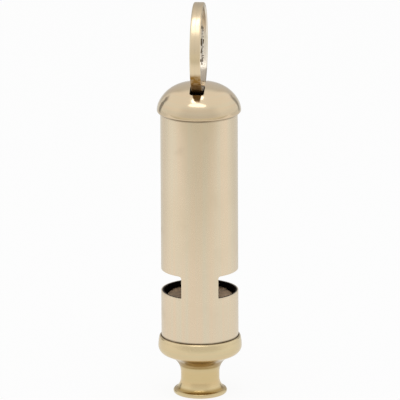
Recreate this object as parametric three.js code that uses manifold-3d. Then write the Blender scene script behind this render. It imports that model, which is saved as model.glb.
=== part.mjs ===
// A tubular two-tone whistle with a domed cap, a ring and a bulbed mouthpiece.
// Millimetres, +Z up the barrel, origin at the centre of the lip's flat end, windows facing -X and +X.
import * as THREE from "three";
import { mergeVertices } from "three/addons/utils/BufferGeometryUtils.js";
import Module from "manifold-3d";

const wasm = await Module();
wasm.setup();

// Fits
const seatClearance = 0.05; // radial and axial, between pieces that are pressed or soldered together
const cutMargin = 1; // how far a cutting shape runs past what it cuts

// Barrel
const barrelDiameter = 16.5;
const barrelWall = 0.55;
const barrelLength = 54.1;
const windowSill = 13.2; // above the barrel's lower end
const windowHeight = 4.8;
const windowCorner = 0.5;
const bridgeWidth = 7.92; // wall left between the windows, in front and behind

// Mouthpiece, from the lip up
const lipBead = 0.53; // radius of the lip's rounded edge
const lipProjection = 1.62; // beyond the neck
const flareHeight = 2.33; // from the lip's top to the waist
const neckDiameter = 8.26;
const neckLength = 1.17; // straight stretch above the waist
const neckFillet = 4.17;
const bulbSlope = 65.2; // degrees from the axis, under the bulb
const bulbRound = 1.79;
const bulbWall = 0.64; // around the barrel at the bulb's widest
const collarHeight = 2.3; // from the bulb's widest to the collar's rim
const collarWall = 0.3; // at the rim
const collarDepth = 3.2; // of barrel inside the collar
const mouthpieceWall = 0.7;

// Cap
const skirtWall = 0.7;
const skirtHeight = 0.25; // straight stretch above the rim
const rimRound = 0.4;
const capWall = 0.5;
const capOverlap = 1.5; // of barrel inside the cap
const shoulderRadius = 4.28;
const shoulderSlope = 63.4; // degrees from level, where the shoulder meets the haunch
const crownRadius = 15.1;
const crownSlope = 15.8; // degrees from level, where the haunch meets the crown

// Ring
const ringDiameter = 19.6;
const wireThickness = 0.8; // across the ring's plane, from inside to outside
const wireWidth = 0.92; // along the ring's axis
const turnGap = 0.45; // between the two turns
const wireChamfer = 0.22;
const crossoverAngle = 20; // degrees, half the stretch where the wire steps from one turn to the next
const endSetback = 4; // degrees, from the crossover to each cut end
const crossoverPlace = 143; // degrees from the ring's top, round the back
const ringSlack = 1.03; // under the crown, when the ring is drawn up
const ringSwing = 45; // degrees, to either side
const ringHoleSide = 0.39; // past the swung wire, at each side
const ringHoleRise = 0.76; // past the swung wire, toward the crown
const ringHoleDrop = 0.08; // past the swung wire, toward the rim
const ringHoleCorner = 0.5;
const ringHeading = -5; // degrees about the barrel, of the ring's plane from the middle of the bridge

// Inside the barrel
const septumThickness = 0.5;
const blockHeight = 8.6;
const blockDrop = 1.15; // of the block's top below the window's sill
const windwayDepth = 0.78;
const windwayWidth = 9.6;
const stopThickness = 1.2;
const leftChamberLength = 35;
const rightChamberLength = 31;

// How finely round stretches are divided
const turnedSides = 48;
const arcSteps = 4;
const wireSteps = 84;
const gapSamples = 720;

// Places worked out from the sizes above
const radians = THREE.MathUtils.degToRad;
const barrelRadius = barrelDiameter / 2;
const boreRadius = barrelRadius - barrelWall;
const socketRadius = barrelRadius + seatClearance;

const neckRadius = neckDiameter / 2;
const lipTop = 2 * lipBead;
const waistZ = lipTop + flareHeight;
const filletZ = waistZ + neckLength;
const bulbRadius = socketRadius + bulbWall;
const slopeTurn = 1 - Math.cos(radians(bulbSlope));
const filletRadius = Math.min(neckFillet, (bulbRadius - neckRadius) / slopeTurn - bulbRound);
const slopeRun = bulbRadius - neckRadius - (filletRadius + bulbRound) * slopeTurn;
const slopeRise = slopeRun / Math.tan(radians(bulbSlope));
const bulbZ = filletZ + (filletRadius + bulbRound) * Math.sin(radians(bulbSlope)) + slopeRise;
const collarZ = bulbZ + collarHeight;

const barrelFoot = collarZ - collarDepth;
const barrelTop = barrelFoot + barrelLength;
const sillZ = barrelFoot + windowSill;

const capRadius = socketRadius + skirtWall;
const capRim = barrelTop - capOverlap;
const crownReach = crownRadius * Math.sin(radians(crownSlope));
const shoulderReach = capRadius - shoulderRadius * (1 - Math.sin(radians(shoulderSlope)));
const haunchRadius =
  (shoulderReach - crownReach) / (Math.sin(radians(shoulderSlope)) - Math.sin(radians(crownSlope)));
const shoulderZ = capRim + skirtHeight;
const haunchZ = shoulderZ + (shoulderRadius - haunchRadius) * Math.cos(radians(shoulderSlope));
const haunchCentre = crownReach - haunchRadius * Math.sin(radians(crownSlope));
const crownZ = haunchZ + (haunchRadius - crownRadius) * Math.cos(radians(crownSlope));
const apexZ = crownZ + crownRadius;

const wirePitch = wireWidth + turnGap;
const ringWidth = wirePitch + wireWidth;
const ringMiddle = ringDiameter / 2 - wireThickness / 2;
const ringZ = apexZ - capWall - ringSlack + ringDiameter / 2 - wireThickness;
const swungHeight =
  (ringWidth * Math.sin(radians(ringSwing)) + wireThickness * Math.cos(radians(ringSwing))) / 2;

const blockTop = sillZ - blockDrop;
const blockFoot = blockTop - blockHeight;
const septumTop = blockTop + Math.max(leftChamberLength, rightChamberLength) + stopThickness;

// Profile points round an arc in the half-plane of radius and height, angles in degrees from outward.
function arc(centreRadius, centreZ, radius, from, to) {
  const points = [];
  for (let step = 0; step <= arcSteps; step++) {
    const angle = radians(from + ((to - from) * step) / arcSteps);
    points.push(new THREE.Vector2(centreRadius + radius * Math.cos(angle), centreZ + radius * Math.sin(angle)));
  }
  return points;
}

// Turns a closed profile, walked up its outside and down its inside, about the barrel's axis.
function turned(points) {
  const same = 1e-4;
  const profile = points.filter((point, i) => i === 0 || point.distanceTo(points[i - 1]) > same);
  return new THREE.LatheGeometry(profile, turnedSides).rotateX(Math.PI / 2);
}

// The stretch of a rising line of points that lies under a height, ending at that height.
function below(points, height) {
  const kept = points.filter((point) => point.y < height);
  const next = points[kept.length];
  if (!next) return kept;
  const last = kept[kept.length - 1];
  return [...kept, last.clone().lerp(next, (height - last.y) / (next.y - last.y))];
}

function solidOf(geometry) {
  const bare = geometry.clone();
  bare.deleteAttribute("normal");
  bare.deleteAttribute("uv");
  const merged = mergeVertices(bare);
  return new wasm.Manifold(
    new wasm.Mesh({
      numProp: 3,
      vertProperties: merged.attributes.position.array,
      triVerts: new Uint32Array(merged.index.array),
    }),
  );
}

function geometryOf(solid) {
  const mesh = solid.getMesh();
  const geometry = new THREE.BufferGeometry();
  geometry.setAttribute("position", new THREE.BufferAttribute(mesh.vertProperties, 3));
  geometry.setIndex(new THREE.BufferAttribute(mesh.triVerts, 1));
  geometry.computeVertexNormals();
  return geometry;
}

function cut(geometry, cutters) {
  return geometryOf(cutters.reduce((solid, cutter) => solid.subtract(solidOf(cutter)), solidOf(geometry)));
}

function metal(color, roughness) {
  return new THREE.MeshStandardMaterial({ color, roughness, metalness: 1 });
}

function piece(name, geometry, material) {
  const mesh = new THREE.Mesh(geometry, material);
  mesh.name = name;
  return mesh;
}

// A cutter for the right window: level sill and top, upright inner edge with its upper corner rounded.
function windowCutter() {
  const inner = bridgeWidth / 2;
  const outer = barrelRadius + cutMargin;
  const top = sillZ + windowHeight;
  const outline = new THREE.Shape();
  outline.moveTo(inner, sillZ);
  outline.lineTo(outer, sillZ);
  outline.lineTo(outer, top);
  outline.lineTo(inner + windowCorner, top);
  outline.absarc(inner + windowCorner, top - windowCorner, windowCorner, Math.PI / 2, Math.PI, false);
  const depth = 2 * outer;
  const options = { depth, bevelEnabled: false, curveSegments: arcSteps };
  return new THREE.ExtrudeGeometry(outline, options).rotateX(Math.PI / 2).translate(0, depth / 2, 0);
}

function barrelTube() {
  const tube = turned([
    new THREE.Vector2(boreRadius, barrelFoot),
    new THREE.Vector2(barrelRadius, barrelFoot),
    new THREE.Vector2(barrelRadius, barrelTop),
    new THREE.Vector2(boreRadius, barrelTop),
    new THREE.Vector2(boreRadius, barrelFoot),
  ]);
  return cut(tube, [windowCutter(), windowCutter().rotateZ(Math.PI)]);
}

// A spun shell: flat-ended lip, waisted neck, bulb and a collar that takes the barrel down to a ledge.
function mouthpiece() {
  const lipReach = lipProjection - lipBead;
  const flareTurn = 2 * Math.atan(lipReach / flareHeight);
  const flareRadius = flareHeight / Math.sin(flareTurn);
  const flareDegrees = THREE.MathUtils.radToDeg(flareTurn);
  const collarRadius = socketRadius + collarWall;
  const collarTurn = 2 * Math.atan((bulbRadius - collarRadius) / collarHeight);
  const collarCurve = collarHeight / Math.sin(collarTurn);
  const ledge = barrelFoot - seatClearance;
  const throat = neckRadius - mouthpieceWall;
  const inside = [
    new THREE.Vector2(throat, 0),
    ...arc(neckRadius + filletRadius, filletZ, filletRadius + mouthpieceWall, 180, 180 - bulbSlope),
    ...arc(bulbRadius - bulbRound, bulbZ, bulbRound - mouthpieceWall, -bulbSlope, 0),
  ];
  return turned([
    new THREE.Vector2(throat, 0),
    ...arc(neckRadius + lipReach, lipBead, lipBead, -90, 90),
    ...arc(neckRadius + flareRadius, waistZ, flareRadius, 180 + flareDegrees, 180),
    ...arc(neckRadius + filletRadius, filletZ, filletRadius, 180, 180 - bulbSlope),
    ...arc(bulbRadius - bulbRound, bulbZ, bulbRound, -bulbSlope, 0),
    ...arc(bulbRadius - collarCurve, bulbZ, collarCurve, 0, THREE.MathUtils.radToDeg(collarTurn)),
    new THREE.Vector2(socketRadius, collarZ),
    new THREE.Vector2(socketRadius, ledge),
    ...below(inside, ledge).reverse(),
  ]);
}

// The cap's dome at a depth under its skin, from the crown's top down to the shoulder's widest.
function domeLine(inset) {
  return [
    ...arc(0, crownZ, crownRadius - inset, 90, 90 - crownSlope),
    ...arc(haunchCentre, haunchZ, haunchRadius - inset, 90 - crownSlope, 90 - shoulderSlope),
    ...arc(capRadius - shoulderRadius, shoulderZ, shoulderRadius - inset, 90 - shoulderSlope, 0),
  ];
}

// Where the ring's middle line passes through the middle of the dome's wall, in the ring's plane.
function ringCrossing() {
  const wall = domeLine(capWall / 2);
  for (let i = 1; i < wall.length; i++) {
    const inner = wall[i - 1];
    const outer = wall[i];
    const depthInside = Math.hypot(inner.x, inner.y - ringZ) - ringMiddle;
    const depthOutside = Math.hypot(outer.x, outer.y - ringZ) - ringMiddle;
    if (depthInside < 0 && depthOutside >= 0) {
      return inner.clone().lerp(outer, depthInside / (depthInside - depthOutside));
    }
  }
  throw new Error("the ring does not pass through the dome");
}

// A wide, short punch along the ring's path where it passes through the dome, in front.
function ringHoleCutter() {
  const place = ringCrossing();
  const climb = Math.asin(place.x / ringMiddle);
  const side = Math.hypot(ringWidth, wireThickness) / 2 + ringHoleSide;
  const crownSide = swungHeight + ringHoleRise;
  const rimSide = swungHeight + ringHoleDrop;
  const quarter = Math.PI / 2;
  const outline = new THREE.Shape();
  [
    [side - ringHoleCorner, crownSide - ringHoleCorner],
    [ringHoleCorner - side, crownSide - ringHoleCorner],
    [ringHoleCorner - side, ringHoleCorner - rimSide],
    [side - ringHoleCorner, ringHoleCorner - rimSide],
  ].forEach(([x, y], turn) => outline.absarc(x, y, ringHoleCorner, turn * quarter, (turn + 1) * quarter, false));
  const depth = 2 * (side + crownSide + cutMargin);
  const punch = new THREE.ExtrudeGeometry(outline, { depth, bevelEnabled: false, curveSegments: arcSteps });
  return punch.translate(0, 0, -depth / 2).rotateX(quarter - climb).translate(0, -place.x, place.y);
}

function topCap() {
  const ledge = barrelTop + seatClearance;
  const inside = domeLine(capWall).filter((point) => point.y > ledge);
  const dome = turned([
    ...inside,
    new THREE.Vector2(socketRadius, ledge),
    new THREE.Vector2(socketRadius, capRim),
    ...arc(capRadius - rimRound, capRim + rimRound, rimRound, -90, 0),
    ...domeLine(0).reverse(),
  ]);
  return cut(dome, [ringHoleCutter(), ringHoleCutter().rotateZ(Math.PI)]);
}

// The middle line of the ring's wire: two flat turns and a smooth step from one to the other.
class RingWire extends THREE.Curve {
  getPoint(share, target = new THREE.Vector3()) {
    const setback = crossoverAngle + endSetback;
    const travelled = setback + share * (720 - 2 * setback);
    const step = THREE.MathUtils.smoothstep(travelled, 360 - crossoverAngle, 360 + crossoverAngle);
    const angle = radians(crossoverPlace + travelled);
    return target.set(
      wirePitch * (step - 0.5),
      ringMiddle * Math.sin(angle),
      ringMiddle * Math.cos(angle),
    );
  }
}

function wireSection() {
  const x = wireWidth / 2;
  const y = wireThickness / 2;
  const points = [
    new THREE.Vector2(x, y - wireChamfer),
    new THREE.Vector2(x - wireChamfer, y),
    new THREE.Vector2(wireChamfer - x, y),
    new THREE.Vector2(-x, y - wireChamfer),
    new THREE.Vector2(-x, wireChamfer - y),
    new THREE.Vector2(wireChamfer - x, -y),
    new THREE.Vector2(x - wireChamfer, -y),
    new THREE.Vector2(x, wireChamfer - y),
  ];
  return new THREE.Shape(points);
}

// The least distance between points of the wire's skin that lie more than half a turn apart along it.
function leastGapToItself(wire, section) {
  const frames = wire.computeFrenetFrames(gapSamples, false);
  const rings = wire.getSpacedPoints(gapSamples).map((centre, i) =>
    section.getPoints().map((corner) =>
      centre
        .clone()
        .addScaledVector(frames.normals[i], corner.x)
        .addScaledVector(frames.binormals[i], corner.y),
    ),
  );
  const apart = Math.ceil(gapSamples / 4);
  let least = Infinity;
  for (let i = 0; i < rings.length; i++) {
    for (let j = i + apart; j < rings.length; j++) {
      for (const a of rings[i]) {
        for (const b of rings[j]) least = Math.min(least, a.distanceToSquared(b));
      }
    }
  }
  return Math.sqrt(least);
}

function splitRing() {
  const wire = new RingWire();
  const section = wireSection();
  console.log("least gap of the ring's wire to itself: " + leastGapToItself(wire, section).toFixed(3) + " mm");
  return new THREE.ExtrudeGeometry(section, { steps: wireSteps, extrudePath: wire, bevelEnabled: false });
}

// Half of the bore, on the right of the septum; a recess in its round side leaves the windway.
function halfRound(height, recessDepth) {
  const radius = boreRadius - seatClearance;
  const flat = septumThickness / 2 + seatClearance;
  const edge = Math.acos(flat / radius);
  const outline = new THREE.Shape();
  outline.moveTo(flat, -radius * Math.sin(edge));
  if (recessDepth > 0) {
    const floor = boreRadius - recessDepth;
    const side = Math.asin(windwayWidth / 2 / boreRadius);
    outline.absarc(0, 0, radius, -edge, -side, false);
    outline.lineTo(floor * Math.cos(side), -floor * Math.sin(side));
    outline.absarc(0, 0, floor, -side, side, false);
    outline.lineTo(radius * Math.cos(side), radius * Math.sin(side));
    outline.absarc(0, 0, radius, side, edge, false);
  } else {
    outline.absarc(0, 0, radius, -edge, edge, false);
  }
  const options = { depth: height, bevelEnabled: false, curveSegments: turnedSides / 4 };
  return new THREE.ExtrudeGeometry(outline, options);
}

function septumPlate() {
  const reach = boreRadius - seatClearance;
  const width = 2 * Math.sqrt(reach ** 2 - (septumThickness / 2) ** 2);
  const height = septumTop - blockFoot;
  return new THREE.BoxGeometry(septumThickness, width, height).translate(0, 0, blockFoot + height / 2);
}

const whistle = new THREE.Group();
whistle.add(piece("barrel_tube", barrelTube(), metal("#d8c9a6", 0.34)));
whistle.add(piece("mouthpiece", mouthpiece(), metal("#cdb98c", 0.22)));
whistle.add(piece("septum_plate", septumPlate(), metal("#a8946b", 0.5)));

for (const [side, heading, chamber] of [
  ["left", Math.PI, leftChamberLength],
  ["right", 0, rightChamberLength],
]) {
  const half = new THREE.Group();
  half.rotation.z = heading;
  const block = piece(side + "_windway_block", halfRound(blockHeight, windwayDepth), metal("#8f8169", 0.6));
  block.position.z = blockFoot;
  const stop = piece(side + "_tuning_stop", halfRound(stopThickness, 0), metal("#a8946b", 0.5));
  stop.position.z = blockTop + chamber;
  half.add(block, stop);
  whistle.add(half);
}

const head = new THREE.Group();
head.rotation.z = radians(ringHeading);
head.add(piece("top_cap", topCap(), metal("#dccfae", 0.16)));
const ring = piece("split_ring", splitRing(), metal("#dcc79a", 0.14));
ring.position.z = ringZ;
head.add(ring);
whistle.add(head);

export default whistle;
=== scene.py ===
"""Looks of a tubular two-tone whistle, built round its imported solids, in metres with +Z up the barrel."""

import math

import bmesh
import bpy
import numpy as np
from bpy.props import FloatProperty, FloatVectorProperty, IntProperty, PointerProperty
from mathutils import Matrix, Vector


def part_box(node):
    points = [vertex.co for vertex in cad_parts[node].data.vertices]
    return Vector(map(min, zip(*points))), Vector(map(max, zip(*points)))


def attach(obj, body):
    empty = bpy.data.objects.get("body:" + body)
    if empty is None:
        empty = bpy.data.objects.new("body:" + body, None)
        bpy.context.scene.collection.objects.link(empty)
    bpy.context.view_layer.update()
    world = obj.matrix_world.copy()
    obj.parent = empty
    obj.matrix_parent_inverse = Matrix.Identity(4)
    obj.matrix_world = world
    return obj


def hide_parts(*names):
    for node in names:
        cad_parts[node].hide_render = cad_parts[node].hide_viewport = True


bl_info = {
    "name": "Tubular whistle",
    "version": (1, 0, 0),
    "blender": (4, 5, 0),
    "location": "3D View > Sidebar > Whistle",
    "description": "Builds the pieces, finishes and studio of a tubular whistle",
    "category": "Object",
}

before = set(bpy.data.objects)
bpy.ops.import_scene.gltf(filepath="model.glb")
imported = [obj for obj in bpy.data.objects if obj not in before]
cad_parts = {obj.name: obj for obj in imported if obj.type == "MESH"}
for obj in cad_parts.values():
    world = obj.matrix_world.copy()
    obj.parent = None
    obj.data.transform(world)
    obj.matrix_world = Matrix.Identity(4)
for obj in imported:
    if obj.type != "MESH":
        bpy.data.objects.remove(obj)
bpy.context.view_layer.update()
barrel_low, barrel_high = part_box("barrel_tube")
mouth_low, mouth_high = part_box("mouthpiece")
cap_low, cap_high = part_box("top_cap")
_, ring_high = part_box("split_ring")
block_low, block_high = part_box("right_windway_block")

MM = 0.001
SAME_POINT = 1e-7  # closer points count as one


# Sizes and colours a user would change


def length(name, description, value):
    return FloatProperty(name=name, description=description, default=value, unit="LENGTH", precision=5)


def angle(name, description, degrees):
    return FloatProperty(name=name, description=description, default=math.radians(degrees), subtype="ANGLE")


def colour(name, description, value):
    return FloatVectorProperty(
        name=name, description=description, default=value, subtype="COLOR", size=3, min=0, max=1
    )


def number(name, description, value):
    return IntProperty(name=name, description=description, default=value, min=9, max=2000)


class BarrelSizes(bpy.types.PropertyGroup):
    diameter: length("Diameter", "Across the outside of the tube", barrel_high.x - barrel_low.x)
    wall: length("Wall", "Thickness of the tube", 0.55 * MM)
    window_sill: length("Window Sill", "Height of the windows over the tube's foot", 13.2 * MM)
    window_height: length("Window Height", "Height of the windows", 4.8 * MM)
    window_corner: length("Window Corner", "Rounding of the windows' upper corners", 0.5 * MM)
    bridge_width: length("Bridge Width", "Wall left between the windows", 7.92 * MM)
    edge_round: length("Edge Round", "Rounding of the tube's cut edges", 0.07 * MM)


class MouthpieceSizes(bpy.types.PropertyGroup):
    lip_bead: length("Lip Bead", "Radius of the lip's rounded edge", 0.53 * MM)
    lip_projection: length("Lip Projection", "How far the lip stands out from the neck", 1.62 * MM)
    flare_height: length("Flare Height", "From the lip's top to the waist", 2.33 * MM)
    neck_diameter: length("Neck Diameter", "Across the waist", 8.26 * MM)
    neck_fillet: length("Neck Fillet", "Hollow curve from the neck to the bulb", 4.17 * MM)
    bulb_slope: angle("Bulb Slope", "Lean of the bulb's underside from the axis", 65.2)
    bulb_round: length("Bulb Round", "Rounding of the bulb", 1.79 * MM)
    bulb_diameter: length("Bulb Diameter", "Across the bulb", mouth_high.x - mouth_low.x)
    collar_height: length("Collar Height", "From the bulb's widest to the collar's rim", 2.3 * MM)
    collar_wall: length("Collar Wall", "Thickness at the collar's rim", 0.3 * MM)
    rim_round: length("Rim Round", "Curve of the collar's chamfered edge", 0.8 * MM)
    rim_start: angle("Rim Start", "Slope where the chamfered edge starts", 28)
    rim_end: angle("Rim End", "Slope where the chamfered edge ends", 60)
    edge_round: length("Edge Round", "Rounding at the foot of the bore", 0.16 * MM)
    wall: length("Wall", "Thickness of the shell", 0.7 * MM)


class CapSizes(bpy.types.PropertyGroup):
    diameter: length("Diameter", "Across the skirt", cap_high.x - cap_low.x)
    skirt_height: length("Skirt Height", "Straight stretch over the rim", 0.25 * MM)
    rim_round: length("Rim Round", "Rounding of the rim", 0.4 * MM)
    wall: length("Wall", "Thickness of the dome", 0.5 * MM)
    shoulder_radius: length("Shoulder Radius", "Curve over the skirt", 4.28 * MM)
    shoulder_slope: angle("Shoulder Slope", "Where the shoulder meets the haunch", 63.4)
    crown_radius: length("Crown Radius", "Curve at the top", 15.1 * MM)
    crown_slope: angle("Crown Slope", "Where the haunch meets the crown", 15.8)
    hole_width: length("Hole Width", "Across the ring's holes, from side to side", 3.12 * MM)
    hole_crown_side: length("Hole Crown Side", "From the wire's middle to the hole's upper edge", 1.68 * MM)
    hole_rim_side: length("Hole Rim Side", "From the wire's middle to the hole's lower edge", 1.12 * MM)
    hole_corner: length("Hole Corner", "Rounding of the holes' corners", 0.5 * MM)
    punch_reach: length("Punch Reach", "How far a punch stands out to either side of the wall", 4.5 * MM)
    edge_round: length("Edge Round", "Easing at the foot of the socket", 0.03 * MM)


class RingSizes(bpy.types.PropertyGroup):
    diameter: length("Diameter", "Across the outside of the ring", 19.6 * MM)
    thickness: length("Wire Thickness", "From the inside to the outside of the ring", 0.8 * MM)
    width: length("Width", "Across both turns", 2.29 * MM)
    edge_round: length("Edge Round", "Rounding of the ring's two outer edges", 0.34 * MM)
    seam_round: length("Seam Round", "Rounding of the edges along the seam", 0.015 * MM)
    seam: length("Seam", "Between the turns where they are closed", 0.002 * MM)
    seam_spread: length("Seam Spread", "What the turns stand apart above the crossover", 0.085 * MM)
    crossover_place: angle("Crossover Place", "Where the wire changes turns, from top to back", 128)
    crossover_half: angle("Crossover Half", "Half of the stretch where it changes turns", 5)
    heading: angle("Heading", "Turn of the ring about the barrel", -5)
    steps: number("Steps", "Sections along the wire", 720)
    section_points: number("Section Points", "Points round the wire, its first counted twice", 33)


class InsideSizes(bpy.types.PropertyGroup):
    windway_depth: length("Windway Depth", "Slit between a block and the tube", 0.78 * MM)
    windway_width: length("Windway Width", "Width of the slit", 9.6 * MM)
    edge_round: length("Edge Round", "Rounding of the blocks' edges", 0.09 * MM)
    seat: length("Seat", "Gap of a soldered seat", 0.05 * MM)


class Finishes(bpy.types.PropertyGroup):
    drawn_brass: colour("Drawn Brass", "Barrel", (0.785, 0.668, 0.498))
    polished_brass: colour("Polished Brass", "Cap", (0.705, 0.582, 0.410))
    turned_brass: colour("Turned Brass", "Mouthpiece", (0.735, 0.607, 0.376))
    ring_brass: colour("Ring Brass", "Split ring", (0.815, 0.682, 0.478))
    # Deeper gold painted round the neck: a painted reflection of the brass and of the shaded table near the
    # foot.
    reflected_gold: colour("Deep Gold", "Handled stretch of the neck", (0.66, 0.455, 0.165))
    # Olive-brown painted reflection of shade, under the bulb and under the lip.
    reflected_shade: colour("Reflected Shade", "Olive lacquer left in the hollows", (0.34, 0.215, 0.055))
    # Brown tarnish for smudged film, and also painted shade: crevices, joints, the ring's foot, crest and
    # seam, the blocks' rims.
    tarnish_and_shade: colour("Tarnish And Shade", "Brown film in crevices", (0.095, 0.058, 0.024))
    # Olive painted on the ring's foot: a painted reflection of the brass dome, with shade by the holes.
    foot_reflection: colour("Foot Reflection", "Olive film where the ring rubs in the cap", (0.300, 0.158, 0.034))
    # Pale sheen painted inside the ring: a painted highlight of the bright studio on its inner face.
    pale_sheen: colour("Pale Sheen", "Inside of the ring, where it is worn", (0.930, 0.870, 0.780))
    # Near black inside the tube: oxide, deepened by painted shade, reaching over the inner edge of the
    # windows' cut faces.
    bore_oxide_and_shade: colour("Bore Oxide And Shade", "Dark inside of the tube", (0.030, 0.022, 0.016))
    block_grey: colour("Block Grey", "Dull soldered blocks", (0.650, 0.450, 0.276))
    sheet_brown: colour("Sheet Brown", "Inner sheet pieces", (0.165, 0.120, 0.070))


class StudioSettings(bpy.types.PropertyGroup):
    floor: colour("Floor", "Pale table", (0.92, 0.92, 0.92))
    elevation: angle("Camera Elevation", "Over the level", 15.5)
    roll: angle("Camera Roll", "Lean of the picture", 0.27)
    frame_width: length("Frame Width", "What the picture spans at the barrel", 85.38 * MM)
    distance: length("Camera Distance", "From the barrel", 2.0)
    aim_side: length("Aim Side", "How far to the right the picture's middle is", 0.13 * MM)
    aim_height: length("Aim Height", "How high the picture's middle is", 42.71 * MM)
    sides: number("Round Sides", "Faces round a turned piece", 176)


class WhistleSettings(bpy.types.PropertyGroup):
    barrel: PointerProperty(type=BarrelSizes)
    mouthpiece: PointerProperty(type=MouthpieceSizes)
    cap: PointerProperty(type=CapSizes)
    ring: PointerProperty(type=RingSizes)
    inside: PointerProperty(type=InsideSizes)
    finishes: PointerProperty(type=Finishes)
    studio: PointerProperty(type=StudioSettings)


# Shapes


def arc(centre_radius, centre_z, radius, start, end, steps=14):
    """Profile points round an arc; angles in radians from outward."""
    turns = np.linspace(start, end, steps + 1)
    return [(centre_radius + radius * math.cos(a), centre_z + radius * math.sin(a)) for a in turns]


def without_repeats(points):
    kept = [points[0]]
    for point in points[1:]:
        if math.dist(point, kept[-1]) > SAME_POINT:
            kept.append(point)
    return kept


def new_piece(name, vertices, faces):
    """A mesh object in the scene, at the origin."""
    mesh = bpy.data.meshes.new(name)
    mesh.from_pydata([tuple(v) for v in vertices], [], faces)
    mesh.validate()
    piece = bpy.data.objects.new(name, mesh)
    bpy.context.scene.collection.objects.link(piece)
    return piece


def settle(piece, sharp=38):
    """Applies the piece's modifiers and smooths its faces up to a crease angle in degrees."""
    graph = bpy.context.evaluated_depsgraph_get()
    mesh = bpy.data.meshes.new_from_object(piece.evaluated_get(graph))
    piece.modifiers.clear()
    piece.data = mesh
    mesh.name = piece.name
    mesh.polygons.foreach_set("use_smooth", [True] * len(mesh.polygons))
    mesh.set_sharp_from_angle(angle=math.radians(sharp))
    mesh.update()


def turned(name, profile, sides):
    """A turned solid from a profile of radius and height, closed on itself or at the axis at both ends."""
    profile = without_repeats(profile)
    if math.dist(profile[0], profile[-1]) < SAME_POINT:
        profile = profile[:-1]
    on_axis = [r < SAME_POINT for r, _ in profile]
    closed = not any(on_axis)
    vertices, rows = [], []
    for (r, z), pole in zip(profile, on_axis):
        start = len(vertices)
        if pole:
            vertices.append((0, 0, z))
            rows.append([start] * sides)
        else:
            turns = (2 * math.pi * i / sides for i in range(sides))
            vertices += [(r * math.cos(a), r * math.sin(a), z) for a in turns]
            rows.append(list(range(start, start + sides)))
    faces = []
    following = rows[1:] + rows[:1] if closed else rows[1:]
    for lower, upper in zip(rows, following):
        for i in range(sides):
            j = (i + 1) % sides
            corners = [lower[i], lower[j], upper[j], upper[i]]
            face = [c for k, c in enumerate(corners) if c not in corners[:k]]
            if len(face) > 2:
                faces.append(face)
    return new_piece(name, vertices, faces)


def bevel(piece, width, segments=2, degrees=45):
    """Rounds the edges that turn by more than an angle."""
    modifier = piece.modifiers.new("Eased edges", "BEVEL")
    modifier.width = width
    modifier.segments = segments
    modifier.limit_method = "ANGLE"
    modifier.angle_limit = math.radians(degrees)


def window_grid(radius, sizes, foot, top):
    """The grid of one skin of the tube: rows of points below, beside and above the windows."""
    sill = foot + sizes.window_sill
    head = sill + sizes.window_height
    inner = sizes.bridge_width / 2
    corner = sizes.window_corner
    across, rounding, bridge = 44, 6, 30  # faces over a window, round a corner of it, over a bridge
    rows_below, rows_beside, rows_above = 15, 7, 45
    edge = math.acos(inner / radius)

    rounds = [math.pi / 2 * i / rounding for i in range(rounding + 1)]
    corner_x = [inner + corner * (1 - math.cos(p)) for p in rounds]
    corner_z = [head - corner + corner * math.sin(p) for p in rounds]
    corner_turn = [math.acos(x / radius) for x in corner_x]
    level = np.linspace(-corner_turn[-1], corner_turn[-1], across - 2 * rounding + 1)[1:-1]
    window_turns = [-t for t in corner_turn] + list(level) + corner_turn[::-1]
    window_heads = corner_z + [head] * len(level) + corner_z[::-1]
    even_turns = list(np.linspace(-edge, edge, across + 1))
    bridge_turns = list(np.linspace(edge, math.pi - edge, bridge + 1))[1:-1]

    def whole(window, over_bridge):
        """One line round the tube: right window, bridge behind, left window, bridge in front."""
        half = list(window) + list(over_bridge)
        return half + [value + math.pi for value in half]

    side = head - corner
    heads = (window_heads + [side] * len(bridge_turns)) * 2
    even = whole(even_turns, bridge_turns)
    shaped = whole(window_turns, bridge_turns)
    below = [[(t, z) for t in even] for z in np.linspace(foot, sill, rows_below)]
    beside = [[(t, z) for t in even] for z in np.linspace(sill, side, rows_beside)]
    above = []
    crowding, evened = 1.25, 0.2  # rows are closer over the windows, and evenly spread from this share up
    for share in np.linspace(0, 1, rows_above) ** crowding:
        ease = min(1.0, share / evened)
        ease = ease * ease * (3 - 2 * ease)
        above.append([(s + (e - s) * ease, h + (top - h) * share) for s, e, h in zip(shaped, even, heads)])
    is_window = ([True] * across + [False] * bridge) * 2
    return below, beside, above, is_window


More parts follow.
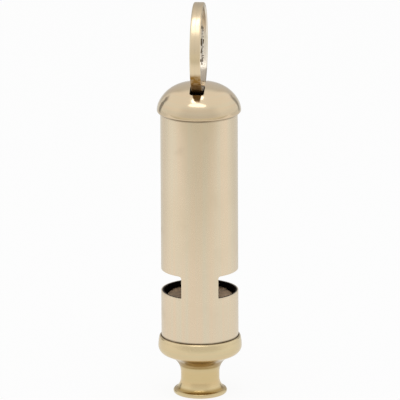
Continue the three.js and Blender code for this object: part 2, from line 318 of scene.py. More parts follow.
def barrel_mesh(sizes):
    """The tube with its two windows, as one closed skin."""
    radii = (sizes.diameter / 2, sizes.diameter / 2 - sizes.wall)
    grids = [window_grid(radius, sizes, barrel_low.z, barrel_high.z) for radius in radii]
    is_window = grids[0][3]
    count = len(is_window)
    vertices, places = [], {}

    def point(radius, turn, z):
        spot = (radius * math.cos(turn), radius * math.sin(turn), z)
        key = tuple(round(value * 1e8) for value in spot)
        if key not in places:
            places[key] = len(vertices)
            vertices.append(spot)
        return places[key]

    skins = []
    for radius, grid in zip(radii, grids):
        skins.append([[[point(radius, t, z) for t, z in row] for row in band] for band in grid[:3]])
    faces = []
    for skin, outward in zip(skins, (True, False)):
        for part, band in enumerate(skin):
            for lower, upper in zip(band, band[1:]):
                for i in range(count):
                    if part == 1 and is_window[i]:
                        continue
                    j = (i + 1) % count
                    face = [lower[i], lower[j], upper[j], upper[i]]
                    faces.append(face if outward else face[::-1])

    def rim(line_out, line_in, spans, upward):
        for i in spans:
            j = (i + 1) % count
            face = [line_out[i], line_out[j], line_in[j], line_in[i]]
            faces.append(face if upward else face[::-1])

    outer, inner = skins
    window_spans = [i for i in range(count) if is_window[i]]
    rim(outer[0][0], inner[0][0], range(count), False)
    rim(outer[2][-1], inner[2][-1], range(count), True)
    rim(outer[0][-1], inner[0][-1], window_spans, True)
    rim(outer[2][0], inner[2][0], window_spans, False)
    for i in range(count):
        starts = is_window[i] and not is_window[i - 1]
        ends = is_window[i - 1] and not is_window[i]
        if not (starts or ends):
            continue
        for low in range(len(outer[1]) - 1):
            face = [outer[1][low][i], outer[1][low + 1][i], inner[1][low + 1][i], inner[1][low][i]]
            faces.append(face[::-1] if starts else face)
    piece = new_piece("barrel", vertices, faces)
    outward_faces(piece)
    return piece


def outward_faces(piece):
    """Joins points that coincide and turns every face outward."""
    edit = bmesh.new()
    edit.from_mesh(piece.data)
    bmesh.ops.remove_doubles(edit, verts=edit.verts, dist=1e-8)
    bmesh.ops.recalc_face_normals(edit, faces=edit.faces)
    edit.to_mesh(piece.data)
    edit.free()


def mouthpiece_profile(sizes, seat):
    """Up the outside from the lip to the collar and back down the bore."""
    neck = sizes.neck_diameter / 2
    bulb = sizes.bulb_diameter / 2
    slope = sizes.bulb_slope
    socket = barrel_high.x + seat
    waist = 2 * sizes.lip_bead + sizes.flare_height
    turn = 1 - math.cos(slope)
    fillet = min(sizes.neck_fillet, (bulb - neck) / turn - sizes.bulb_round)
    run = bulb - neck - (fillet + sizes.bulb_round) * turn
    bulb_z = mouth_high.z - sizes.collar_height
    fillet_z = bulb_z - (fillet + sizes.bulb_round) * math.sin(slope) - run / math.tan(slope)
    reach = sizes.lip_projection - sizes.lip_bead
    flare_turn = 2 * math.atan(reach / sizes.flare_height)
    flare = sizes.flare_height / math.sin(flare_turn)
    rim = socket + sizes.collar_wall
    collar_turn = 2 * math.atan((bulb - rim) / sizes.collar_height)
    collar = sizes.collar_height / math.sin(collar_turn)
    ledge = barrel_low.z - seat
    throat = neck - sizes.wall
    ease = sizes.edge_round
    inside = arc(neck + fillet, fillet_z, fillet + sizes.wall, math.pi, math.pi - slope, steps=20)
    inside += arc(bulb - sizes.bulb_round, bulb_z, sizes.bulb_round - sizes.wall, -slope, 0, steps=10)
    lower = [p for p in inside if p[1] < ledge]
    before, after = lower[-1], inside[len(lower)]
    share = (ledge - before[1]) / (after[1] - before[1])
    lower.append((before[0] + (after[0] - before[0]) * share, ledge))
    side = arc(bulb - collar, bulb_z, collar, 0, collar_turn, steps=16)
    low, high = sizes.rim_start, sizes.rim_end
    chamfer_z = mouth_high.z - sizes.rim_round * math.sin(high)
    side = [p for p in side if p[1] < chamfer_z + sizes.rim_round * math.sin(low)]
    chamfer_r = side[-1][0] - sizes.rim_round * math.cos(low)
    side += arc(chamfer_r, chamfer_z, sizes.rim_round, low, high, steps=6)
    profile = arc(throat + ease, ease, ease, math.pi, 1.5 * math.pi, steps=5)
    profile += arc(neck + reach, sizes.lip_bead, sizes.lip_bead, -math.pi / 2, math.pi / 2, steps=20)
    profile += arc(neck + flare, waist, flare, math.pi + flare_turn, math.pi, steps=20)
    profile += arc(neck + fillet, fillet_z, fillet, math.pi, math.pi - slope, steps=26)
    profile += arc(bulb - sizes.bulb_round, bulb_z, sizes.bulb_round, -slope, 0, steps=18)
    profile += side
    profile += arc(socket + ease / 2, mouth_high.z - ease / 2, ease / 2, math.pi / 2, math.pi, steps=3)
    profile += [(socket, ledge)] + lower[::-1]
    return profile + profile[:1]


def dome_line(sizes, inset):
    """From the crown's top down to the shoulder, at a depth under the skin."""
    radius = sizes.diameter / 2
    shoulder_z = cap_low.z + sizes.skirt_height
    crown_reach = sizes.crown_radius * math.sin(sizes.crown_slope)
    shoulder_reach = radius - sizes.shoulder_radius * (1 - math.sin(sizes.shoulder_slope))
    spread = math.sin(sizes.shoulder_slope) - math.sin(sizes.crown_slope)
    haunch = (shoulder_reach - crown_reach) / spread
    haunch_z = shoulder_z + (sizes.shoulder_radius - haunch) * math.cos(sizes.shoulder_slope)
    haunch_centre = crown_reach - haunch * math.sin(sizes.crown_slope)
    crown_z = haunch_z + (haunch - sizes.crown_radius) * math.cos(sizes.crown_slope)
    shoulder_centre = radius - sizes.shoulder_radius
    top = math.pi / 2
    crown_end, haunch_end = top - sizes.crown_slope, top - sizes.shoulder_slope
    line = arc(0, crown_z, sizes.crown_radius - inset, top, crown_end, steps=16)
    line += arc(haunch_centre, haunch_z, haunch - inset, crown_end, haunch_end, steps=26)
    line += arc(shoulder_centre, shoulder_z, sizes.shoulder_radius - inset, haunch_end, 0, steps=16)
    line[0] = (0.0, line[0][1])
    return line


def cap_profile(sizes, seat):
    """Down under the dome to its socket, round the rim and up the outside."""
    radius = sizes.diameter / 2
    socket = barrel_high.x + seat
    ledge = barrel_high.z + seat
    ease = sizes.edge_round
    inside = [p for p in dome_line(sizes, sizes.wall) if p[1] > ledge]
    rim_z = cap_low.z + sizes.rim_round
    rim = arc(radius - sizes.rim_round, rim_z, sizes.rim_round, -math.pi / 2, 0, steps=12)
    outside = [p for p in dome_line(sizes, 0) if p[1] > rim_z]
    foot = [(socket, ledge), (socket, cap_low.z + ease), (socket + ease, cap_low.z)]
    return inside + foot + rim + outside[::-1]


def ring_crossing(sizes, ring, ring_z):
    """Where the ring's middle line meets the middle of the dome's wall."""
    middle = (ring.diameter - ring.thickness) / 2
    wall = dome_line(sizes, sizes.wall / 2)
    for (r0, z0), (r1, z1) in zip(wall, wall[1:]):
        d0 = math.hypot(r0, z0 - ring_z) - middle
        d1 = math.hypot(r1, z1 - ring_z) - middle
        if d0 < 0 <= d1:
            share = d0 / (d0 - d1)
            return r0 + (r1 - r0) * share, z0 + (z1 - z0) * share
    raise ValueError("the ring does not pass through the cap")


def prism(name, outline, levels, matrix):
    """A straight solid on an outline walked anticlockwise."""
    vertices = [matrix @ Vector((x, y, z)) for z in levels for x, y in outline]
    n = len(outline)
    faces = [list(range(n))[::-1], list(range(n, 2 * n))]
    faces += [[i, (i + 1) % n, n + (i + 1) % n, n + i] for i in range(n)]
    return new_piece(name, vertices, faces)


def punch(name, sizes, place, climb, heading):
    """A wide, short cutter along the ring's path, with rounded corners."""
    corner = sizes.hole_corner
    side = sizes.hole_width / 2 - corner
    upper, lower = sizes.hole_crown_side - corner, corner - sizes.hole_rim_side
    quarter = math.pi / 2
    outline = []
    for turn, (x, y) in enumerate(((side, upper), (-side, upper), (-side, lower), (side, lower))):
        outline += arc(x, y, corner, turn * quarter, (turn + 1) * quarter)
    path = (
        Matrix.Rotation(heading, 4, "Z")
        @ Matrix.Translation((0, -place[0], place[1]))
        @ Matrix.Rotation(quarter - climb, 4, "X")
    )
    return prism(name, outline, (-sizes.punch_reach, sizes.punch_reach), path)


def half_round_block(name, heading, inside, barrel):
    """A soldered plug in half the bore under a window, its round side relieved for the windway."""
    bore = barrel.diameter / 2 - barrel.wall
    radius = bore - inside.seat
    flat = block_low.x
    floor = bore - inside.windway_depth
    edge = math.acos(flat / radius)
    side = math.asin(inside.windway_width / 2 / bore)
    seat_points, floor_points = 14, 40
    turns = [(radius, a) for a in np.linspace(-edge, -side, seat_points)]
    turns += [(floor, a) for a in np.linspace(-side, side, floor_points)]
    turns += [(radius, a) for a in np.linspace(side, edge, seat_points)]
    outline = [(r * math.cos(a), r * math.sin(a)) for r, a in turns]
    piece = prism(name, outline, (block_low.z, block_high.z), Matrix.Rotation(heading, 4, "Z"))
    bevel(piece, inside.edge_round, segments=3, degrees=50)
    settle(piece)
    return piece


# Node helpers

# Scales of the noises, per metre
GRAIN_LINES, GRAIN_BANDS, HAIRS, SPECKS, SMUDGES, CLOUDS = 9000, 900, 2600, 1500, 170, 55
MOTTLES, SMEARS, PITS = 900, 260, 2600
TABLE_SPECKLES, CURTAIN_RIPPLES = 60, 9


class Value:
    """A number that a node tree works out; arithmetic with it adds nodes to the tree."""

    def __init__(self, nodes, socket):
        self.nodes, self.socket = nodes, socket

    def __add__(self, other):
        return self.nodes.math("ADD", self, other)

    def __sub__(self, other):
        return self.nodes.math("SUBTRACT", self, other)

    def __rsub__(self, other):
        return self.nodes.math("SUBTRACT", other, self)

    def __mul__(self, other):
        return self.nodes.math("MULTIPLY", self, other)

    def __truediv__(self, other):
        return self.nodes.math("DIVIDE", self, other)

    def __abs__(self):
        return self.nodes.math("ABSOLUTE", self)

    def ramp(self, low, high, start=0.0, end=1.0, how="SMOOTHSTEP"):
        """Goes from start to end while the value goes from low to high."""
        node = self.nodes.add("ShaderNodeMapRange", interpolation_type=how)
        return self.nodes.fill(node, self, low, high, start, end)


class Tree:
    """Adds nodes to a tree and sets or links their inputs."""

    def __init__(self, tree):
        self.tree = tree

    def add(self, kind, inputs=None, **settings):
        node = self.tree.nodes.new(kind)
        for name, value in settings.items():
            setattr(node, name, value)
        for name, value in (inputs or {}).items():
            self.put(value, node.inputs[name])
        return node

    def put(self, value, socket):
        if isinstance(value, Value):
            value = value.socket
        elif isinstance(value, bpy.types.Node):
            value = value.outputs[0]
        if isinstance(value, bpy.types.NodeSocket):
            self.tree.links.new(value, socket)
        else:
            socket.default_value = value

    def fill(self, node, *values):
        """Sets a node's first inputs in their order and hands back its first output."""
        for socket, value in zip(node.inputs, values):
            self.put(value, socket)
        return Value(self, node.outputs[0])

    def math(self, operation, *values, clamp=False):
        return self.fill(self.add("ShaderNodeMath", operation=operation, use_clamp=clamp), *values)

    def larger(self, first, *others):
        for other in others:
            first = self.math("MAXIMUM", first, other)
        return first

    def hypot(self, *sides):
        first, second = (self.math("POWER", side, 2.0) for side in sides)
        return self.math("SQRT", first + second)

    def mix(self, share, first, second):
        node = self.add("ShaderNodeMix", data_type="RGBA")
        for name, part in (("Factor_Float", share), ("A_Color", first), ("B_Color", second)):
            socket = next(s for s in node.inputs if s.identifier == name)
            if not isinstance(part, bpy.types.NodeSocket) and name != "Factor_Float":
                part = (*part, 1.0)
            self.put(part, socket)
        return next(s for s in node.outputs if s.identifier == "Result_Color")

    def noise(self, vector, scale, detail=3.0, roughness=0.55):
        inputs = {"Vector": vector, "Scale": scale, "Detail": detail, "Roughness": roughness}
        return self.fill(self.add("ShaderNodeTexNoise", inputs))

    def split(self, vector):
        node = self.add("ShaderNodeSeparateXYZ", {"Vector": vector})
        return [Value(self, socket) for socket in node.outputs]

    def join(self, x=0.0, y=0.0, z=0.0):
        return self.add("ShaderNodeCombineXYZ", {"X": x, "Y": y, "Z": z})


def fresh_tree(owner):
    """The emptied tree of a material or a world."""
    owner.use_nodes = True
    owner.node_tree.nodes.clear()
    return Tree(owner.node_tree)


def new_material(name):
    material = bpy.data.materials.new(name)
    nodes = fresh_tree(material)
    return material, nodes, nodes.add("ShaderNodeTexCoord").outputs["Object"]


def tinted(tone, shares):
    """A colour with its channels scaled, none of them over white."""
    return tuple(min(1.0, part * share) for part, share in zip(tone, shares))


def grain_vector(nodes, place, grain):
    """Where the finish runs: drawn up the tube, turned round the axis or wound along the ring."""
    drawn_out, turned_out = 0.012, 0.02
    if grain == "drawn":
        stretch = {0: place, 1: (1.0, 1.0, drawn_out)}
        return nodes.add("ShaderNodeVectorMath", stretch, operation="MULTIPLY")
    x, y, z = nodes.split(place)
    first, second, third = (x, y, z) if grain == "turned" else (y, z, x)
    return nodes.join(nodes.hypot(first, second), third, first * turned_out)


def hairlines(nodes, place, smudge):
    """Fine slanted scratches where the piece is smudged."""
    leaning = {"Vector": place, "Rotation": (0.5, 0.35, 0.8), "Scale": (1.0, 0.03, 0.03)}
    slanted = nodes.add("ShaderNodeMapping", leaning)
    off_line = abs(nodes.noise(slanted, HAIRS, 2, 0.5) - 0.5)
    return off_line.ramp(0.0, 0.008, 1.0, 0.0) * smudge.ramp(0.56, 0.7)


def ring_marks(nodes, place, tone, darkening, marks):
    """Painted pale sheen inside the ring, painted reflection and shade on its foot, painted shade on its
    crest and along the seam behind.
    """
    outer, thickness, foot_reflection, pale_sheen = marks
    inner = outer - thickness
    across, depth, height = nodes.split(place)
    reach = nodes.hypot(depth, height)
    specks = nodes.noise(place, SPECKS, 2)
    # Painted highlight: the ring's inner face turned pale
    lit = reach.ramp(inner + 0.05 * MM, inner + 0.25 * MM, 1.0, 0.0)
    tone = nodes.mix(lit * 0.8, tone, pale_sheen)
    # Painted reflection of the dome, blotchy, on the outside of the ring's foot
    foot = height.ramp(-3.15 * MM, -4.3 * MM) * reach.ramp(outer - 0.4 * MM, outer - 0.15 * MM)
    tone = nodes.mix(foot * specks.ramp(0.35, 0.6, 0.7, 1.0), tone, foot_reflection)
    # Painted shade along the seam between the turns, behind the crossover, ragged
    beside = abs(across) - specks.ramp(0.46, 0.66) * (0.26 * MM)
    seam_shade = beside.ramp(0.05 * MM, 0.13 * MM, 0.95, 0.0) * depth.ramp(2 * MM, 3 * MM)
    seam_shade = seam_shade * height.ramp(-5.8 * MM, -5.2 * MM) * height.ramp(2.4 * MM, 3.6 * MM, 1.0, 0.0)
    seam_shade = seam_shade * reach.ramp(inner + 0.05 * MM, inner + 0.2 * MM, 1.0, 0.0)
    # Painted shade on the ring's lowest stretch, in the cap's holes and under the crown
    low = height.ramp(-5.4 * MM, -6.7 * MM, 0.0, 0.6)
    # Painted shade dulling the highlight on the ring's crest
    crest_shade = height.ramp(7.6 * MM, 8.4 * MM, 0.0, 0.32)
    return tone, nodes.larger(darkening, low, crest_shade, seam_shade)


def metal_surface(nodes, looks, relief, strength, distance):
    """Ends a metal's tree in its shader, with a fine relief."""
    raised = nodes.add("ShaderNodeBump", {"Strength": strength, "Distance": distance, "Height": relief})
    surface = nodes.add("ShaderNodeBsdfPrincipled", {**looks, "Normal": raised})
    nodes.add("ShaderNodeOutputMaterial", {"Surface": surface})


def brass(
    name, clean, tarnish_and_shade, grain, roughness, lines, bump,
    crevices=(), painted_bands=(), dark_inside=None, centre=None, marks=None,
):
    """Brass with a running grain, handling marks, hairline scratches and painted shade in its crevices.

    A crevice of painted shade is a height, its spread and an amount. A painted reflection band is a height,
    its spread, its amounts ahead and at the sides, and a colour.
    """
    material, nodes, place = new_material(name)
    if centre:
        offset, heading = centre
        mapped = {"Vector": place, "Location": offset, "Rotation": (0, 0, heading)}
        place = nodes.add("ShaderNodeMapping", mapped, vector_type="TEXTURE")
    along = grain_vector(nodes, place, grain)
    fine = nodes.noise(along, GRAIN_LINES, 4, 0.6)
    broad = nodes.noise(along, GRAIN_BANDS, 3, 0.55)
    smudge = nodes.noise(place, SMUDGES, 4, 0.6)
    cloud = nodes.noise(place, CLOUDS, 2, 0.5)
    scratch = hairlines(nodes, place, smudge)

    warm = tinted(clean, (1.02, 0.965, 0.93))
    cool = tinted(clean, (0.965, 0.99, 0.985))
    deeper = tinted(clean, (0.93, 0.9, 0.84))
    tone = nodes.mix(broad.ramp(0.32, 0.68), warm, cool)
    tone = nodes.mix(cloud.ramp(0.42, 0.72) * 0.55, tone, deeper)
    # Darkening toward the tarnish-and-shade colour: a faint film where smudged, with painted shade added to
    # it below
    darkening = smudge.ramp(0.6, 0.82) * 0.1
    across, depth, height = nodes.split(place)
    sideways = abs(across).ramp(1.6 * MM, 3.4 * MM)
    # Painted reflection bands at given heights, with their own amounts ahead and at the sides
    for level, spread, amount, side_amount, shade in painted_bands:
        near = abs(height - level).ramp(0.0, spread, 1.0, 0.0)
        strength = sideways.ramp(0.0, 1.0, amount, side_amount, "LINEAR")
        tone = nodes.mix(near * strength, tone, shade)
    # Painted shade where parts meet, spreading from a height
    for level, spread, amount in crevices:
        near = abs(height - level).ramp(0.0, spread, 1.0, 0.0)
        darkening = nodes.larger(darkening, near * amount * smudge.ramp(0.25, 0.6, 0.55, 1.0))
    if marks:
        tone, darkening = ring_marks(nodes, place, tone, darkening, marks)
    tone = nodes.mix(darkening, tone, tarnish_and_shade)

    rough = (fine - 0.5) * lines + roughness
    rough = rough + smudge.ramp(0.45, 0.75) * 0.05 + darkening * 0.25
    rough = nodes.math("ADD", rough, scratch * 0.12, clamp=True)
    # Oxide and painted shade on the bore and the inner edge of the cut faces
    if dark_inside:
        radius, oxide = dark_inside
        inside = nodes.hypot(across, depth).ramp(radius, radius + 0.22 * MM, 1.0, 0.0)
        tone = nodes.mix(inside, tone, oxide)
        rough = nodes.larger(rough, inside * 0.62)
    looks = {"Base Color": tone, "Roughness": rough, "Metallic": 1.0}
    metal_surface(nodes, looks, fine * 0.6 - scratch * 0.8, strength=bump, distance=2e-6)
    return material


def dull_metal(name, base, dark_share, light_share, roughness, rim=None):
    """Unpolished inner metal: mottled, pitted, smeared with solder, and darker out toward a rim as painted
    shade.
    """
    material, nodes, place = new_material(name)
    dark, light = tinted(base, (dark_share,) * 3), tinted(base, (light_share,) * 3)
    mottle = nodes.noise(place, MOTTLES, 5, 0.65)
    smear = nodes.noise(place, SMEARS, 3, 0.5)
    pit = nodes.fill(nodes.add("ShaderNodeTexVoronoi", {"Vector": place, "Scale": PITS}))
    pit = pit.ramp(0.05, 0.3, 1.0, 0.0)
    tone = nodes.mix(mottle.ramp(0.3, 0.7), dark, base)
    tone = nodes.mix(smear.ramp(0.5, 0.72) * 0.6, tone, light)
    tone = nodes.mix(pit * 0.35, tone, dark)
    # Painted shade out toward the rim, where the block meets the tube wall
    if rim:
        radius, shade = rim
        across, depth, _ = nodes.split(place)
        near = nodes.hypot(across, depth).ramp(radius - 0.7 * MM, radius - 0.1 * MM, 0.0, 0.85)
        tone = nodes.mix(near, tone, shade)
    rough = mottle.ramp(0.3, 0.7, roughness - 0.08, roughness + 0.12)
    looks = {"Base Color": tone, "Roughness": rough, "Metallic": 0.55}
    metal_surface(nodes, looks, mottle - pit * 0.6, strength=0.5, distance=2e-5)
    return material


# The split ring's tree


def ring_tree(material):
    """Geometry nodes for a flat wire wound twice, tapering where its ends lie beside the crossover."""
    group = bpy.data.node_groups.new("Split ring wire", "GeometryNodeTree")
    group.interface.new_socket("Geometry", in_out="OUTPUT", socket_type="NodeSocketGeometry")
    measures = ("Diameter", "Thickness", "Width", "Edge Round", "Seam Round", "Seam", "Seam Spread")
    measures += ("Crossover Place", "Crossover Half", "Heading", "Centre Height")
    counts = ("Steps", "Section Points")
    for kind, names in (("NodeSocketFloat", measures), ("NodeSocketInt", counts)):
        for name in names:
            group.interface.new_socket(name, in_out="INPUT", socket_type=kind)
    nodes = Tree(group)
    given = {socket.name: Value(nodes, socket) for socket in nodes.add("NodeGroupInput").outputs}
    grid = {"Size X": 1.0, "Size Y": 1.0}
    grid |= {"Vertices X": given["Steps"], "Vertices Y": given["Section Points"]}
    sheet = nodes.add("GeometryNodeMeshGrid", grid)
    spot = nodes.split(nodes.add("GeometryNodeInputPosition"))
    share, round_share = spot[0] + 0.5, spot[1] + 0.5

    # How far a section has come along the wire; the first and the last are drawn in to close the ends
    turn = 2 * math.pi
    half = given["Crossover Half"]
    step = nodes.math("DIVIDE", 1.0, given["Steps"] - 1.0)
    travel = share.ramp(step, 1.0 - step, half * -1.0, half + 2 * turn, "LINEAR")
    from_end = nodes.math("MINIMUM", share, 1.0 - share)
    solid = nodes.math("GREATER_THAN", from_end, step * 0.5)
    place = given["Crossover Place"] + travel

    # Where the section's two sides lie across the ring
    head, crossed, tail = (travel.ramp(at - half, half + at) for at in (0.0, turn, 2 * turn))
    opens, wide_open = math.radians(280), math.radians(315)
    first = travel.ramp(opens, wide_open)
    second = travel.ramp(opens + turn, wide_open + turn)
    seam = given["Seam"] + (first * (1.0 - crossed) + second) * given["Seam Spread"]
    reach = given["Width"] * 0.5
    tip = reach - seam * 0.5 - given["Edge Round"]
    crossing = crossed * (reach + seam * 0.5) - reach
    left = crossing + tail * tip
    right = crossing + (given["Edge Round"] + head * tip)
    middle = (left + right) * 0.5
    half_width = (right - left) * 0.5 * solid

    # Round the section, a quarter turn at each of its four corners
    corners = round_share * 4.0
    quarter = nodes.math("FLOOR", corners + 0.0001)
    per_corner = (given["Section Points"] - 1.0) / 4.0
    along = (corners - quarter) * (per_corner / (per_corner - 1.0))
    around = (quarter + along) * (turn / 4)
    diagonal = (quarter + 0.5) * (turn / 4)
    side = nodes.math("SIGN", nodes.math("COSINE", diagonal))
    face = nodes.math("SIGN", nodes.math("SINE", diagonal))
    outer = 1.0 - abs((side + 1.0) * 0.5 - crossed)
    rounding = outer.ramp(0.0, 1.0, given["Seam Round"], given["Edge Round"], "LINEAR")
    rounding = nodes.math("MINIMUM", rounding, half_width * 0.95)
    thick = given["Thickness"] * 0.5
    sideways = middle + side * (half_width - rounding) + nodes.math("COSINE", around) * rounding
    radius = given["Diameter"] * 0.5 - thick
    radius = radius + face * (thick * solid - rounding) + nodes.math("SINE", around) * rounding
    behind, up = (radius * nodes.math(wave, place) for wave in ("SINE", "COSINE"))

    position = nodes.join(sideways, behind, up)
    wound = nodes.add("GeometryNodeSetPosition", {"Geometry": sheet, "Position": position})
    closed = nodes.add("GeometryNodeMergeByDistance", {"Geometry": wound, "Distance": 2e-7})
    move = {"Translation": nodes.join(z=given["Centre Height"]), "Rotation": nodes.join(z=given["Heading"])}
    placed = nodes.add("GeometryNodeTransform", {"Geometry": closed, **move})
    real = nodes.add("GeometryNodeRealizeInstances", {"Geometry": placed})
    painted = nodes.add("GeometryNodeSetMaterial", {"Geometry": real, "Material": material})
    nodes.add("NodeGroupOutput", {"Geometry": painted})
    return group


# Operators


def settings():
    return bpy.context.scene.whistle


def hand_over(piece, body, slot, *nodes):
    """Hangs a piece on its body and hides the solids it stands for; its slot is not used."""
    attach(piece, body)
    if nodes:
        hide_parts(*nodes)


class WHISTLE_OT_barrel(bpy.types.Operator):
    """Builds the drawn tube with its two windows"""

    bl_idname = "whistle.barrel"
    bl_label = "Barrel"

    def execute(self, context):
        sizes, finishes = settings().barrel, settings().finishes
        piece = barrel_mesh(sizes)
        bevel(piece, sizes.edge_round)
        settle(piece)
        bore = sizes.diameter / 2 - sizes.wall
        piece.data.materials.append(
            brass(
                "drawn brass", finishes.drawn_brass, finishes.tarnish_and_shade, "drawn",
                roughness=0.27, lines=0.05, bump=0.12,
                # Painted shade on the tube by the collar and under the cap's rim
                crevices=((mouth_high.z, 0.5 * MM, 1.0), (cap_low.z, 0.55 * MM, 0.95)),
                # Oxide and painted shade inside the tube
                dark_inside=(bore + 0.24 * MM, finishes.bore_oxide_and_shade),
            )
        )
        hand_over(piece, "whistle", "barrel", "barrel_tube")
        return {"FINISHED"}


class WHISTLE_OT_mouthpiece(bpy.types.Operator):
    """Builds the turned lip, neck, bulb and collar"""

    bl_idname = "whistle.mouthpiece"
    bl_label = "Mouthpiece"

    def execute(self, context):
        sizes, finishes = settings().mouthpiece, settings().finishes
        profile = mouthpiece_profile(sizes, settings().inside.seat)
        piece = turned("mouthpiece_shell", profile, settings().studio.sides)
        outward_faces(piece)
        settle(piece, sharp=50)
        piece.data.materials.append(
            brass(
                "turned brass", finishes.turned_brass, finishes.tarnish_and_shade, "turned",
                roughness=0.22, lines=0.06, bump=0.2,
                # Painted shade at the collar's rim, where it meets the tube
                crevices=((mouth_high.z, 0.2 * MM, 0.6),),
                painted_bands=(
                    # Painted reflection: deeper gold round the neck
                    (4.2 * MM, 5.0 * MM, 0.4, 0.4, finishes.reflected_gold),
                    # Painted reflection of the bulb's shaded underside: a band on the neck and a thin line
                    # under it
                    (7.3 * MM, 1.7 * MM, 0.5, 0.95, finishes.reflected_shade),
                    (6.5 * MM, 0.4 * MM, 0.75, 0.5, finishes.reflected_shade),
                    # Painted shade reflected under the lip, near the table
                    (1.25 * MM, 0.7 * MM, 0.8, 0.8, finishes.reflected_shade),
                ),
            )
        )
        hand_over(piece, "whistle", "mouthpiece", "mouthpiece")
        return {"FINISHED"}


class WHISTLE_OT_cap(bpy.types.Operator):
    """Builds the domed cap and punches the ring's holes"""

    bl_idname = "whistle.cap"
    bl_label = "Cap"

    def execute(self, context):
        sizes, ring, finishes = settings().cap, settings().ring, settings().finishes
        profile = cap_profile(sizes, settings().inside.seat)
        piece = turned("cap_dome", profile, settings().studio.sides)
        outward_faces(piece)
        centre = ring_high.z - ring.diameter / 2
        place = ring_crossing(sizes, ring, centre)
        climb = math.asin(place[0] / ((ring.diameter - ring.thickness) / 2))
        cutters = []
        for side, heading in (("front", ring.heading), ("back", ring.heading + math.pi)):
            cutter = punch(side + " punch", sizes, place, climb, heading)
            cut = piece.modifiers.new(side + " hole", "BOOLEAN")
            cut.operation = "DIFFERENCE"
            cut.solver = "EXACT"
            cut.object = cutter
            cutters.append(cutter)
        settle(piece, sharp=40)
        for cutter in cutters:
            bpy.data.meshes.remove(cutter.data)
        piece.data.materials.append(
            brass(
                "polished brass", finishes.polished_brass, finishes.tarnish_and_shade, "turned",
                roughness=0.13, lines=0.05, bump=0.2,
                # Painted shade under the cap's rim
                crevices=((cap_low.z, 0.3 * MM, 0.9),),
            )
        )
        hand_over(piece, "whistle", "cap", "top_cap")
        return {"FINISHED"}


class WHISTLE_OT_ring(bpy.types.Operator):
    """Winds the split ring through the cap's holes"""

    bl_idname = "whistle.ring"
    bl_label = "Split Ring"

    def execute(self, context):
        sizes, finishes = settings().ring, settings().finishes
        centre = ring_high.z - sizes.diameter / 2
        material = brass(
            "ring brass", finishes.ring_brass, finishes.tarnish_and_shade, "wound",
            roughness=0.29, lines=0.06, bump=0.22,
            centre=((0, 0, centre), sizes.heading),
            marks=(sizes.diameter / 2, sizes.thickness, finishes.foot_reflection, finishes.pale_sheen),
        )
        piece = new_piece("ring_wire", [], [])
        tree = piece.modifiers.new("Split ring wire", "NODES")
        tree.node_group = ring_tree(material)
        for socket in tree.node_group.interface.items_tree:
            if socket.in_out == "INPUT":
                field = socket.name.lower().replace(" ", "_")
                tree[socket.identifier] = centre if field == "centre_height" else getattr(sizes, field)
        settle(piece, sharp=60)
        outward_faces(piece)
        hand_over(piece, "ring", "ring", "split_ring")
        return {"FINISHED"}


class WHISTLE_OT_blocks(bpy.types.Operator):
    """Builds the windway blocks seen through the windows"""

    bl_idname = "whistle.blocks"
    bl_label = "Windway Blocks"

    def execute(self, context):
        finishes = settings().finishes
        material = dull_metal(
            "soldered block", finishes.block_grey, dark_share=0.5, light_share=1.35, roughness=0.55,
            # Painted shade toward the blocks' round side, by the tube wall
            rim=(block_high.y, finishes.tarnish_and_shade),
        )
        for side, heading in (("left", math.pi), ("right", 0.0)):
            piece = half_round_block(side + "_block", heading, settings().inside, settings().barrel)
            piece.data.materials.append(material)
            hand_over(piece, "whistle", "block", side + "_windway_block")
        return {"FINISHED"}


class WHISTLE_OT_inner_sheets(bpy.types.Operator):
    """Gives the septum and the tuning stops their dull finish"""

    bl_idname = "whistle.inner_sheets"
    bl_label = "Septum and Stops"

    def execute(self, context):
        base = settings().finishes.sheet_brown
        material = dull_metal("inner sheet brass", base, dark_share=0.4, light_share=1.5, roughness=0.5)
        for name in ("septum_plate", "left_tuning_stop", "right_tuning_stop"):
            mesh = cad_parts[name].data
            mesh.materials.clear()
            mesh.materials.append(material)
        return {"FINISHED"}


def backdrop_light(nodes):
    """1 for what the camera or a mirror sees, 0 for light on the object; then 1 for a mirror alone."""
    path = nodes.add("ShaderNodeLightPath").outputs
    mirrored = Value(nodes, path["Is Glossy Ray"])
    return nodes.larger(path["Is Camera Ray"], mirrored, path["Is Transmission Ray"]), mirrored


def faded(share, value):
    """1 where the share is 0, the value where it is 1."""
    return share * (value - 1.0) + 1.0


def toward_front(nodes, parts):
    """How far out from the axis a place or direction is, and how squarely it lies to the front."""
    away = nodes.hypot(parts[0], parts[1])
    return away, parts[1] * -1.0 / nodes.larger(away, 0.001)


def curtain_gaps(nodes, parts, facing):
    """How bright a mirrored direction is where dark gaps show behind the object, wider on the left."""
    ripple = nodes.noise(nodes.join(*parts), CURTAIN_RIPPLES, 2)
    uneven = facing + (ripple - 0.5) * 0.12

    def gap(turn, narrow, wide, depth, low, high):
        """A dark strip round one facing, gone above a height."""
        return abs(uneven - turn).ramp(narrow, wide, depth, 0.0) * parts[2].ramp(low, high, 1.0, 0.0)

    left = gap(-0.70, 0.05, 0.12, 0.66, 0.36, 0.5)
    right = gap(-0.79, 0.035, 0.08, 0.58, 0.28, 0.42)
    return 1.0 - parts[0].ramp(-0.05, 0.05, left, right)


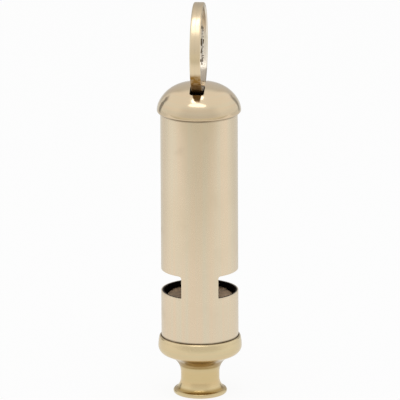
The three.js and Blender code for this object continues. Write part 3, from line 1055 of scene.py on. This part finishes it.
def floor_material(studio):
    """A pale table; a mirror sees it dimmer and warmer ahead of the object, colder behind it, and darker
    round the object's foot as a painted shadow.
    """
    material, nodes, place = new_material("pale table")
    seen, mirrored = backdrop_light(nodes)
    parts = nodes.split(place)
    depth = parts[1]
    speckle = nodes.noise(place, TABLE_SPECKLES, 3, 0.5)
    darker = tinted(studio.floor, (0.96,) * 3)
    tone = nodes.mix(speckle.ramp(0.3, 0.7, 0.0, 0.15), studio.floor, darker)
    matte = nodes.add("ShaderNodeBsdfDiffuse", {"Color": tone})

    glow = nodes.mix(mirrored * depth.ramp(0.0, 0.12), (1.0, 1.0, 1.0), (0.965, 0.99, 1.0))
    glow = nodes.mix(mirrored * depth.ramp(-0.23, -0.11, 1.0, 0.0), glow, (1.0, 0.985, 0.87))

    near_ahead = depth.ramp(-0.235, -0.115, 0.4, 1.0)
    far_ahead = depth.ramp(-0.228, -0.28, 0.4, 0.82)
    behind = depth.ramp(0.0, 0.12, 1.0, 0.82)
    away, facing = toward_front(nodes, parts)
    # Painted shadow round the object's foot, as mirrors see the table
    foot_shadow = away.ramp(0.03, 0.13, 0.92, 1.0)
    curtain = faded(away.ramp(0.28, 0.42), curtain_gaps(nodes, parts, facing))
    table = nodes.larger(near_ahead, far_ahead) * behind * foot_shadow * curtain
    bright = nodes.add("ShaderNodeEmission", {"Color": glow, "Strength": faded(mirrored, table)})
    mixed = nodes.add("ShaderNodeMixShader", {0: seen * 0.9, 1: matte, 2: bright})
    nodes.add("ShaderNodeOutputMaterial", {"Surface": mixed})
    return material


def studio_world():
    """A white tent; a mirror sees it dimmer in front, straight behind and low down."""
    world = bpy.data.worlds.new("White tent")
    nodes = fresh_tree(world)
    seen, mirrored = backdrop_light(nodes)
    parts = nodes.split(nodes.add("ShaderNodeTexCoord").outputs["Generated"])
    height = parts[2]
    facing = toward_front(nodes, parts)[1]
    front = facing.ramp(0.3, 0.85, 1.0, 0.82)
    back = facing.ramp(-0.9, -0.8, 0.7, 1.0)
    walls = faded(height.ramp(0.6, 0.85, 1.0, 0.0), front * back)
    tent = walls * height.ramp(0.1, 0.55, 0.91, 1.0) * curtain_gaps(nodes, parts, facing)
    light_on_object = 0.78
    level = seen.ramp(0.0, 1.0, light_on_object, faded(mirrored, tent), "LINEAR")
    sky = nodes.add("ShaderNodeBackground", {"Color": (1.0, 1.0, 1.0, 1.0), "Strength": level})
    nodes.add("ShaderNodeOutputWorld", {"Surface": sky})
    return world


def softbox(name, place, target, size, power):
    """A soft oval light turned to a target."""
    lamp = bpy.data.lights.new(name, "AREA")
    lamp.shape = "ELLIPSE"
    lamp.size, lamp.size_y = size
    lamp.energy = power
    box = bpy.data.objects.new(name, lamp)
    box.location = place
    box.rotation_euler = (Vector(target) - Vector(place)).to_track_quat("-Z", "Y").to_euler()
    bpy.context.scene.collection.objects.link(box)


class WHISTLE_OT_studio(bpy.types.Operator):
    """Sets the table, the soft lights and the camera"""

    bl_idname = "whistle.studio"
    bl_label = "Studio"

    def execute(self, context):
        studio = settings().studio
        scene = context.scene
        scene.view_settings.view_transform = "Standard"
        reach = 3
        corners = [(-reach, -reach, 0), (reach, -reach, 0), (reach, reach, 0), (-reach, reach, 0)]
        table = new_piece("table", corners, [(0, 1, 2, 3)])
        table.data.materials.append(floor_material(studio))
        scene.world = studio_world()
        middle = (0.0, 0.0, 0.045)
        softbox("front overhead light", (-0.05, -0.37, 0.75), middle, size=(0.58, 0.19), power=0.35)
        softbox("back overhead light", (-0.05, -0.065, 0.80), middle, size=(0.21, 0.44), power=0.46)

        eye = bpy.data.cameras.new("camera")
        eye.sensor_width = 36.0
        eye.lens = eye.sensor_width * studio.distance / studio.frame_width
        eye.clip_end = 20.0
        camera = bpy.data.objects.new("camera", eye)
        target = Vector((studio.aim_side, 0.0, studio.aim_height))
        away = Vector((0, -math.cos(studio.elevation), math.sin(studio.elevation)))
        camera.location = target + away * studio.distance
        look = (-away).to_track_quat("-Z", "Y").to_matrix()
        camera.rotation_euler = (look @ Matrix.Rotation(-studio.roll, 3, "Z")).to_euler()
        scene.collection.objects.link(camera)
        scene.camera = camera
        return {"FINISHED"}


PIECES = (
    WHISTLE_OT_barrel, WHISTLE_OT_mouthpiece, WHISTLE_OT_cap, WHISTLE_OT_ring,
    WHISTLE_OT_blocks, WHISTLE_OT_inner_sheets, WHISTLE_OT_studio,
)


class WHISTLE_PT_panel(bpy.types.Panel):
    """Lists the whistle's pieces and sizes"""

    bl_idname = "WHISTLE_PT_panel"
    bl_label = "Whistle"
    bl_space_type = "VIEW_3D"
    bl_region_type = "UI"
    bl_category = "Whistle"

    def draw(self, context):
        for operator in PIECES:
            self.layout.operator(operator.bl_idname)
        whistle = context.scene.whistle
        for part in WhistleSettings.__annotations__:
            group = getattr(whistle, part)
            box = self.layout.box()
            for name in group.__annotations__:
                box.prop(group, name)


CLASSES = (
    BarrelSizes, MouthpieceSizes, CapSizes, RingSizes, InsideSizes, Finishes, StudioSettings,
    WhistleSettings, *PIECES, WHISTLE_PT_panel,
)


def register():
    for item in CLASSES:
        bpy.utils.register_class(item)
    bpy.types.Scene.whistle = PointerProperty(type=WhistleSettings)


def unregister():
    del bpy.types.Scene.whistle
    for item in reversed(CLASSES):
        bpy.utils.unregister_class(item)


def main():
    register()
    bpy.ops.whistle.studio()
    bpy.ops.whistle.barrel()
    bpy.ops.whistle.mouthpiece()
    bpy.ops.whistle.cap()
    bpy.ops.whistle.ring()
    bpy.ops.whistle.blocks()
    bpy.ops.whistle.inner_sheets()


if __name__ == "__main__":
    main()
